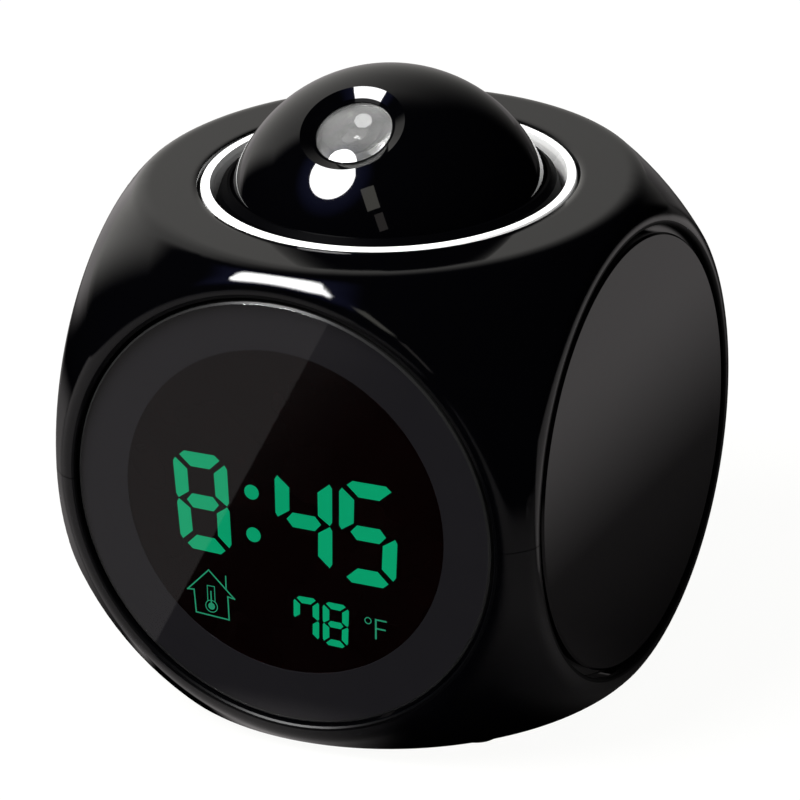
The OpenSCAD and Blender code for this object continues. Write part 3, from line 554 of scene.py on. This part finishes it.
def lit_sign(name, red, green, blue):
    """The finish of a lit sign of the display."""
    unlit = (0.0, 0.005, 0.003)
    made = finish(name, unlit, handled, low=0.45, high=0.55, Specular_IOR_Level=0.0, Emission_Strength=1.0)
    tree = made.node_tree
    glow = add_node(tree, "ShaderNodeGroup", node_tree=backlight_glow, Red=red, Green=green, Blue=blue)
    tree.links.new(glow.outputs["Glow"], tree.nodes["Principled BSDF"].inputs["Emission Color"])
    return made


lit_green = lit_sign("lit_green", 0.003, 0.335, 0.142)
faint_green = lit_sign("faint_green", 0.02, 0.25, 0.13)

# Hours and minutes, with the colon between them.
colon_x, colon_radius = -6.05, 1.28
time_marks = bmesh.new()
digit(time_marks, "abcdefg", [(-19.1, -9.4), (-10.05, -9.8), (-10.3, 7.6), (-20.0, 7.6)])
digit(time_marks, "bcfg", [(-2.1, -10.1), (7.7, -10.2), (8.35, 7.45), (-1.8, 7.5)])
digit(time_marks, "acdfg", [(8.9, -10.5), (18.8, -10.6), (20.1, 7.3), (9.6, 7.3)])
for colon_z in (2.28, -5.19):
    dot(time_marks, (colon_x, colon_z), colon_radius)
mesh_object("time_digits", time_marks, lit_green)

# The room's temperature.
small_marks = bmesh.new()
digit(small_marks, "abcf", [(0.4, -22.45), (4.85, -22.4), (5.15, -14.6), (0.63, -14.65)])
digit(small_marks, "abcdefg", [(5.55, -22.4), (9.95, -22.55), (10.45, -14.85), (5.8, -14.75)])
mesh_object("temperature_digits", small_marks, lit_green)

# The house with its chimney.
signs = bmesh.new()
house_stroke, chimney_stroke = 0.22, 0.2
house = [(-18.4, -16.9), (-14.45, -12.9), (-10.0, -17.3), (-11.2, -17.1), (-11.15, -21.2), (-17.05, -20.8),
         (-17.25, -16.8)]
for start, end in zip(house, house[1:] + house[:1]):
    line(signs, start, end, house_stroke)
line(signs, (-11.42, -13.5), (-11.44, -15.9), chimney_stroke)

# The thermometer in the house: the outline of a tube over a ring, with a bulb and a column in them.
tube_stroke, column_stroke = 0.13, 0.22
tube_left, tube_right, tube_top, tube_foot = -14.84, -13.55, -15.7, -18.4
for start, end in (((tube_left, tube_top), (tube_left, tube_foot)),
                   ((tube_right, tube_top), (tube_right, tube_foot)),
                   ((tube_left, tube_top), (tube_right, tube_top))):
    line(signs, start, end, tube_stroke)
line(signs, (-14.22, -16.7), (-14.24, -18.8), column_stroke)
bulb, bulb_radius, bulb_ring = (-14.22, -19.3), 0.6, (1.12, 0.98)
dot(signs, bulb, *bulb_ring)
dot(signs, bulb, bulb_radius)

# The degree sign and its letter.
stem_stroke, arm_stroke = 0.3, 0.26
degree_ring = 0.62, 0.46
dot(signs, (13.72, -16.8), *degree_ring)
line(signs, (15.1, -16.4), (15.0, -19.7), stem_stroke)
line(signs, (15.1, -16.4), (16.9, -16.45), arm_stroke)
line(signs, (15.05, -17.95), (16.65, -18.0), arm_stroke)
mesh_object("display_signs", signs, faint_green)


# Side discs: flat black plastic discs, pressed into the side pockets on three pegs each. They have no
# clear skin and are a little duller than the shells.
dress(finish("disc_black", (0.0006, 0.0004, 0.0006), handled, low=0.05, high=0.08, IOR=1.49),
      "side_disc_left", "side_disc_right")


# Collar ring: a white moulding round the opening in the top, clipped in from above. It has a soft shine,
# as it came from the mould.
dress(finish("collar_white", (0.88, 0.88, 0.87), handled, low=0.25, high=0.35, IOR=1.46), "collar_ring")


# Projector: a polished black ball in a black socket, with a clear lens in a recess. The step that holds the
# lens stays dull, because no polishing wheel reaches it.
ball_middle = Vector((0, 0, 74.9)) * MM
lens_tilt = math.radians(29)
lens_axis = Vector((0, -math.sin(lens_tilt), math.cos(lens_tilt)))


def lens_radius(tree):
    """How far the shaded point lies from the axis of the lens."""
    from_ball = vector_maths(tree, "SUBTRACT", place_in(tree), ball_middle)
    return vector_maths(tree, "LENGTH", vector_maths(tree, "CROSS_PRODUCT", from_ball, lens_axis))


ball_black = finish("ball_black", deep_black, handled, **polish, Specular_IOR_Level=0.01, Coat_IOR=1.49,
                    Coat_Roughness=skin_roughness)
tree = ball_black.node_tree
step_radius, step_fade = 6.8 * MM, 0.1 * MM
polished = ramp(tree, lens_radius(tree), step_radius, step_radius + step_fade)
tree.links.new(polished, tree.nodes["Principled BSDF"].inputs["Coat Weight"])
dress(ball_black, "ball_top")
dress(polished_black, "ball_base")
dress(finish("socket_black", deep_black, grain, low=0.35, high=0.45, Specular_IOR_Level=0.01), "socket")

# The lens is moulded in clear plastic with a milky haze, uneven in soft streaks. A painted shade makes it
# greyer towards +X and -Y, and its edge is ground matt.
lens_tint, ground_grey = (0.95, 0.95, 0.93), (0.09, 0.09, 0.09, 1)
ground_radius = 6.5 * MM
streak_scale = (90, 260, 200)
lens_shade_start, lens_shade_end, lens_shade_grey = 13.8 * MM, 16.5 * MM, 0.7
lens_shade_aside = 0.5
lens_plastic = clear_plastic("lens_plastic", lens_tint, 1.55, clearness=0.95)
tree = lens_plastic.node_tree
spot = place_in(tree)
drawn = vector_maths(tree, "MULTIPLY", spot, streak_scale)
streak = add_node(tree, "ShaderNodeTexNoise", Vector=drawn, Scale=1.0, Detail=1)
haze = add_node(tree, "ShaderNodeMapRange", Value=streak.outputs[0], From_Min=0.38, From_Max=0.62,
                To_Min=0.7, To_Max=1.0)
place = parts_of(tree, spot)
# Painted shade: the haze is darkened towards +X and -Y.
towards_lens_shade = maths(tree, "SUBTRACT", product(tree, place["X"], lens_shade_aside), place["Y"])
lens_shade = product(tree, ramp(tree, towards_lens_shade, lens_shade_start, lens_shade_end), lens_shade_grey)
clear = product(tree, haze.outputs[0], maths(tree, "SUBTRACT", 1.0, lens_shade))
tree.links.new(clear, tree.nodes["Principled BSDF"].inputs["Base Color"])
ground = maths(tree, "GREATER_THAN", lens_radius(tree), ground_radius)
mix_in(lens_plastic, ground, "ShaderNodeBsdfDiffuse", Color=ground_grey)
pass_lamp_light(lens_plastic, lens_tint)
dress(lens_plastic, "lens")

# Behind the lens stand a matt light tube, the film that is projected and the milky resin of the lamp.
dress(finish("tube_black", (0.008, 0.008, 0.008), grain, bump=0.1, low=0.3, high=0.4), "lens_tube")
dress(finish("film_grey", (0.2, 0.2, 0.2), handled, low=0.2, high=0.3), "film_slide")
dress(finish("diode_resin", (0.8, 0.78, 0.75), handled, low=0.1, high=0.2), "light_source")


# Rear panel, buttons and speaker: a finely grained black plate held by clips, four setting buttons, and
# the speaker's pressed steel basket and formed cone behind a pattern of round holes.
dress(finish("grained_black", (0.012, 0.012, 0.013), grain, bump=0.25, low=0.35, high=0.5), "rear_panel")
dress(finish("button_black", (0.018, 0.018, 0.02), grain, bump=0.08, scale=4000, low=0.28, high=0.4),
      "button_1", "button_2", "button_3", "button_4")
dress(finish("speaker_steel", (0.45, 0.45, 0.46), grain, low=0.3, high=0.45, Metallic=1.0), "speaker_basket")
dress(finish("cone_film", (0.03, 0.03, 0.035), grain, bump=0.2, low=0.4, high=0.55), "speaker_cone")


# Inside: the moulded frames, the green boards with their dark chips and switches, and the milky light
# guide behind the display. Screws and clips hold them in the shells.
dress(finish("inner_black", (0.02, 0.02, 0.021), grain, bump=0.2, low=0.45, high=0.6),
      "display_frame", "carrier_plate", "press_ring")
dress(finish("light_guide", (0.8, 0.84, 0.78), handled, low=0.2, high=0.3), "backlight")
dress(finish("solder_mask", (0.02, 0.16, 0.07), handled, low=0.2, high=0.35),
      "main_board", "key_board", "light_board")
dress(finish("chip_resin", (0.015, 0.015, 0.016), grain, bump=0.2, low=0.4, high=0.55),
      "board_chips", "key_switches", "talk_switch")


# Metal parts: zinc plated screws and pins, and nickel plated springs and contacts, which are wound from
# wire and bent from strip.
dress(finish("screw_zinc", (0.55, 0.56, 0.58), grain, low=0.25, high=0.4, Metallic=1.0),
      "board_screws", "ball_screws", "case_screws", "pivot_pins")
contact_nickel = finish("contact_nickel", (0.62, 0.6, 0.56), grain, low=0.2, high=0.35, Metallic=1.0)
dress(contact_nickel, "contact_springs", "contact_plates", "press_springs")


# Press springs: two coils of steel wire, which stand on the carrier plate round the posts and carry the
# press ring, and shorten when the projector is pressed down. Here they are welded and kept at rest length.
weld_distance = 0.0001 * MM
soft_angle = 40
coils = bmesh.new()
coils.from_mesh(cad["press_springs"].data)
bmesh.ops.remove_doubles(coils, verts=coils.verts, dist=weld_distance)
press_coils = mesh_object("press_coils", coils, contact_nickel, smooth=soft_angle)
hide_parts("press_springs")
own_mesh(press_coils)


# Cells: three steel cans in a plain printed jacket, pressed in side by side between the contact springs
# and the contact plates.
dress(finish("cell_jacket", (0.5, 0.3, 0.08), handled, low=0.15, high=0.25, Metallic=0.6),
      "battery_cell_1", "battery_cell_2", "battery_cell_3")


# Feet: matt black rubber discs, punched from sheet and stuck into shallow pockets, over the heads of the
# case screws.
dress(finish("foot_rubber", (0.015, 0.015, 0.015), grain, bump=0.4, scale=3000, low=0.7, high=0.85),
      "foot_1", "foot_2", "foot_3", "foot_4")
